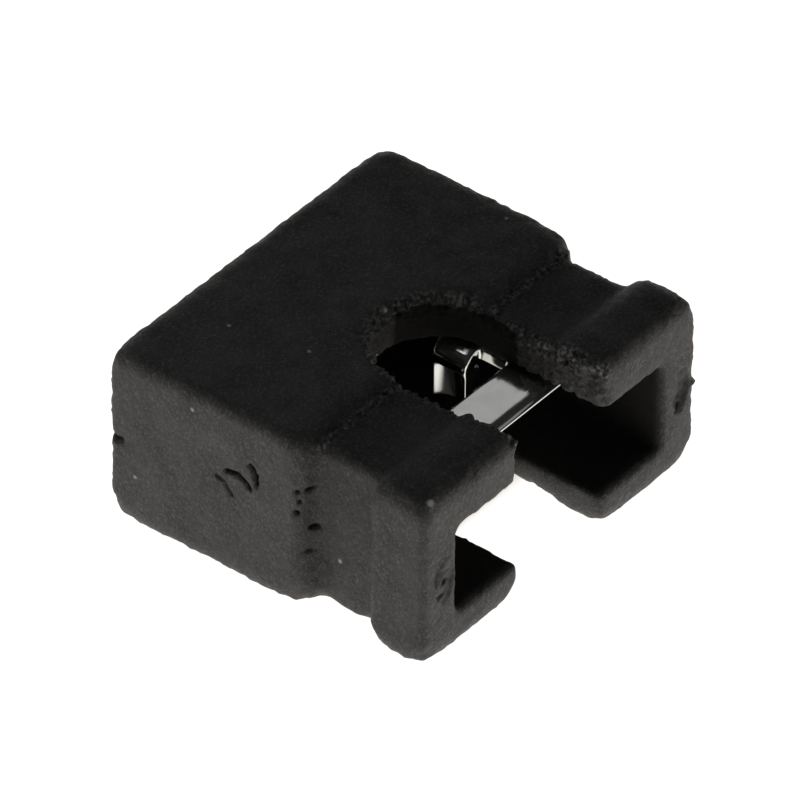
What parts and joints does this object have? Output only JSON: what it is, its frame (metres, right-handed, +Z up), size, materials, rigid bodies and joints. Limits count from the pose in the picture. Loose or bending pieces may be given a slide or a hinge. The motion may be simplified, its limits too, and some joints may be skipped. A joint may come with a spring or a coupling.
{
  "type": "jumper shunt",
  "caption": "Black moulded shunt with an open slotted mouth, a stepped waist and a folded spring contact that bridges neighbouring square header posts.",
  "frame": {"origin": "centre of the part's box in plan, on the face that it lies on", "axes": "+X along the row of posts, +Y from the mouth to the closed end, +Z up through the thickness"},
  "size_m": [0.005, 0.0046, 0.0024],
  "materials": {
    "housing_plastic": "fine spark-eroded grain, matt black moulding with small nicks and gate marks",
    "contact_metal": "tin-plated phosphor bronze sheet, bright, smooth on the flat and rough on the cut edges"
  },
  "bodies": {
    "root": {"housing": "housing_plastic", "contact": "contact_metal"}
  },
  "joints": []
}
